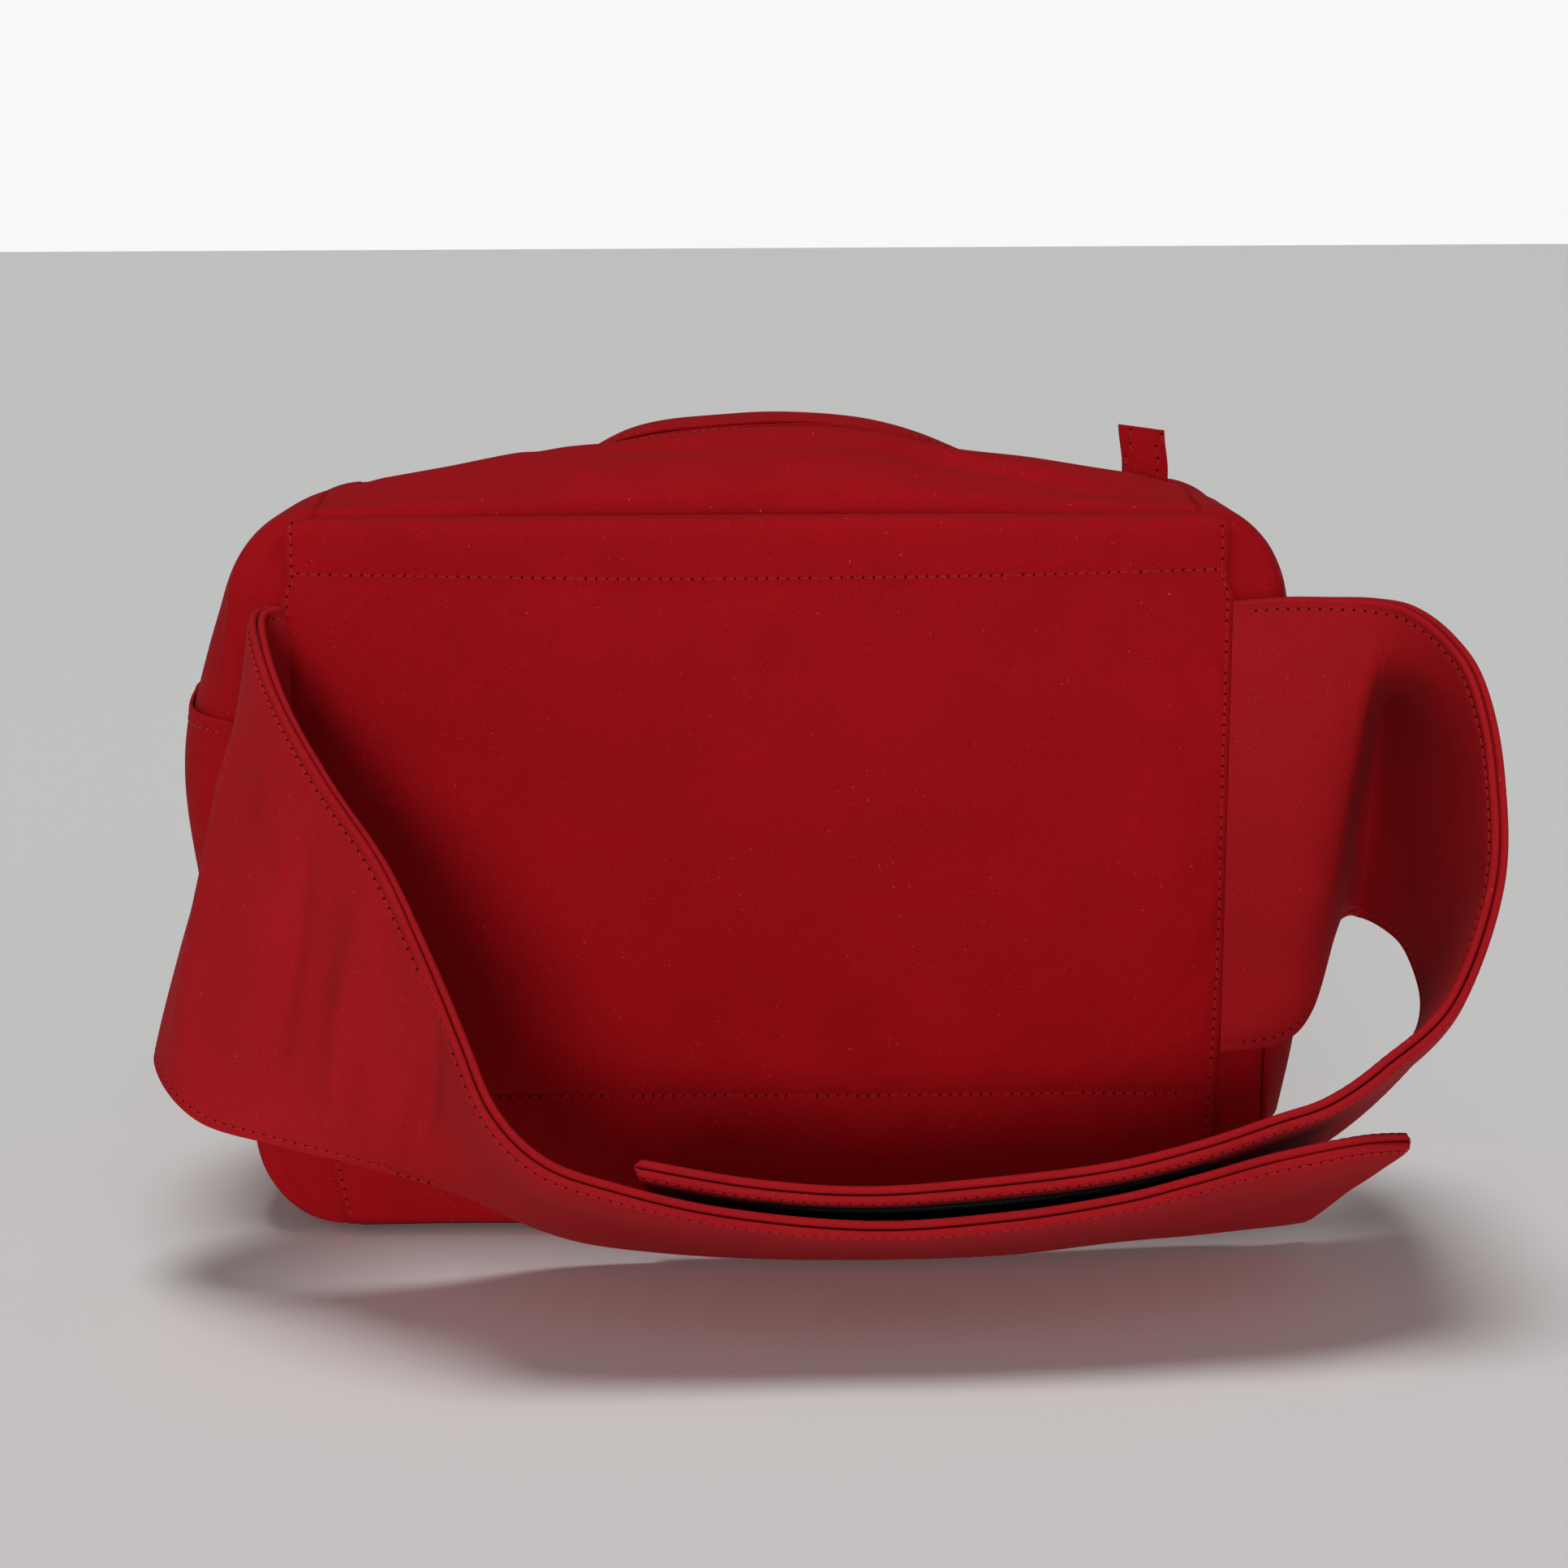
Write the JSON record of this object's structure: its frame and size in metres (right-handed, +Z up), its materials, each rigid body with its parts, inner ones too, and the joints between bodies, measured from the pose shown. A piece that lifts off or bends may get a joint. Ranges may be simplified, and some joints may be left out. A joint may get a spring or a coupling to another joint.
{
  "type": "sling bag",
  "caption": "Soft upright sling bag with an arched top zip, slim side pockets and a very wide padded strap in two halves that overlap in a hook-and-loop closure.",
  "frame": {"origin": "on the floor under the middle of the bag, halfway between the back and front seams", "axes": "+X to the right seen from the back of the bag, -Y out of its back towards the strap loop, +Z up"},
  "size_m": [0.4485, 0.2466, 0.2795],
  "materials": {
    "red_nylon": "matt woven nylon with a faint sheen",
    "lining": "plain thin polyester",
    "binding": "grosgrain",
    "foam": "closed-cell foam",
    "board": "thin stiff sheet",
    "zip_tape": "woven tape",
    "zip_coil": "nylon coil",
    "zip_metal": "satin paint",
    "hook_tape": "stiff hooks",
    "loop_tape": "soft loops"
  },
  "bodies": {
    "bag": {"top_strip_rear": "red_nylon", "top_strip_front": "red_nylon", "zip_end_cover_left": "red_nylon", "zip_end_cover_right": "red_nylon", "side_gusset_left": "red_nylon", "side_gusset_right": "red_nylon", "base_gusset": "red_nylon", "back_panel": "red_nylon", "front_panel": "red_nylon", "side_pocket_left": "red_nylon", "side_pocket_right": "red_nylon", "lining_gusset": "lining", "lining_back": "lining", "lining_front": "lining", "base_board": "board", "seam_binding_back": "binding", "seam_binding_front": "binding", "back_overlay": "red_nylon", "back_foam": "foam", "strap_tail_right": "red_nylon", "strap_tail_left": "red_nylon", "strap_root_left_outer": "red_nylon", "strap_root_left_foam": "foam", "strap_root_left_inner": "red_nylon", "strap_root_right_outer": "red_nylon", "strap_root_right_foam": "foam", "strap_root_right_inner": "red_nylon", "zip_tape_rear": "zip_tape", "zip_tape_front": "zip_tape", "zip_coil_rear": "zip_coil", "zip_coil_front": "zip_coil", "zip_stop_right": "zip_metal", "zip_stop_left": "zip_metal"},
    "left_strap": {"strap_left_outer": "red_nylon", "strap_left_foam": "foam", "strap_left_inner": "red_nylon", "loop_tape": "loop_tape"},
    "right_strap": {"strap_right_outer": "red_nylon", "strap_right_foam": "foam", "strap_right_inner": "red_nylon", "hook_tape": "hook_tape"},
    "zip_slider": {"slider_body": "zip_metal", "slider_bridge": "zip_metal"},
    "zip_pull": {"zip_pull": "zip_metal"},
    "end_tab": {"zip_tab": "red_nylon"}
  },
  "joints": [
    {"name": "main_zip", "type": "hinge", "parent": "bag", "child": "zip_slider", "pos_m": [0, 0, -0.2925], "axis": [0, -1, 0], "range_deg": [0, 23.7]},
    {"name": "pull_flip", "type": "hinge", "parent": "zip_slider", "child": "zip_pull", "pos_m": [0.11269, 0, 0.25957], "axis": [0, 1, 0], "range_deg": [0, 120]},
    {"name": "left_strap_swing", "type": "hinge", "parent": "bag", "child": "left_strap", "pos_m": [-0.18606, -0.08636, 0.14438], "axis": [-0.2845, 0.0813, -0.9552], "range_deg": [0, 75]},
    {"name": "right_strap_swing", "type": "hinge", "parent": "bag", "child": "right_strap", "pos_m": [0.22626, -0.04011, 0.15825], "axis": [0.0672, -0.6051, 0.7933], "range_deg": [0, 15]},
    {"name": "tab_bend", "type": "hinge", "parent": "bag", "child": "end_tab", "pos_m": [0.138, 0, 0.2594], "axis": [0.9903, 0, -0.1392], "range_deg": [-30, 30], "stiffness_Nm_per_rad": 0.003}
  ],
  "couplings": [
    {"joint": "right_strap_swing", "follows": "left_strap_swing", "ratio": 0.2}
  ]
}
